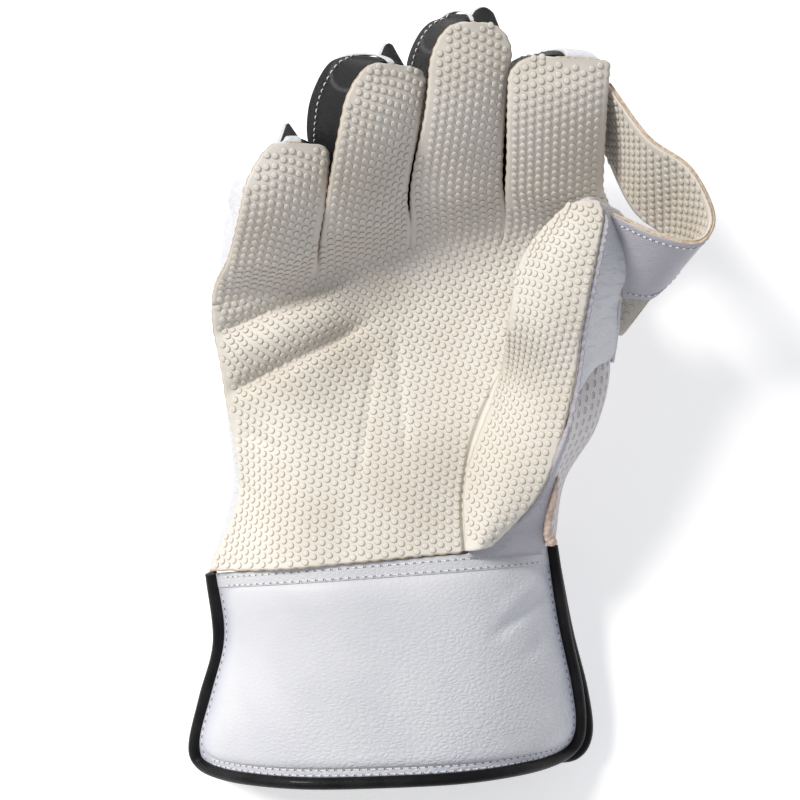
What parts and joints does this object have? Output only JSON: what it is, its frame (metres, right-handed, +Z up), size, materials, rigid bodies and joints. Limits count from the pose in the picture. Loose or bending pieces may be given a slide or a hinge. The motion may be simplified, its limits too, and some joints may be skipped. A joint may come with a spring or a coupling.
{
  "type": "wicketkeeping glove",
  "caption": "Cupped right-hand wicketkeeping glove lying palm up, with dimpled rubber facing, catch web and flared gauntlet cuff.",
  "frame": {"origin": "middle of the glove's bounding box, on the surface that it lies on", "axes": "+X to the thumb side, +Y from the cuff to the fingertips, +Z up out of the palm"},
  "size_m": [0.1964, 0.2916, 0.1],
  "materials": {
    "rubber_facing": "matt cream rubber with round dimples",
    "white_leather": "soft white grained leather",
    "black_leather": "satin black leather",
    "blush_lining": "soft pinkish suede strip"
  },
  "bodies": {
    "root": {"palm_facing": "rubber_facing", "thumb_facing": "rubber_facing", "web_facing": "rubber_facing", "web_lower": "rubber_facing", "web_backing": "white_leather", "little_back": "white_leather", "ring_back": "white_leather", "middle_back": "white_leather", "index_back": "white_leather", "thumb_back": "white_leather", "hand_back": "white_leather", "wrist_gusset": "white_leather", "cuff_front": "white_leather", "cuff_top_band": "white_leather", "cuff_back": "white_leather", "little_ring_fourchette": "black_leather", "ring_middle_fourchette": "black_leather", "middle_index_fourchette": "black_leather", "cuff_front_binding": "black_leather", "cuff_back_binding": "black_leather", "wrist_roll": "blush_lining"}
  },
  "joints": []
}
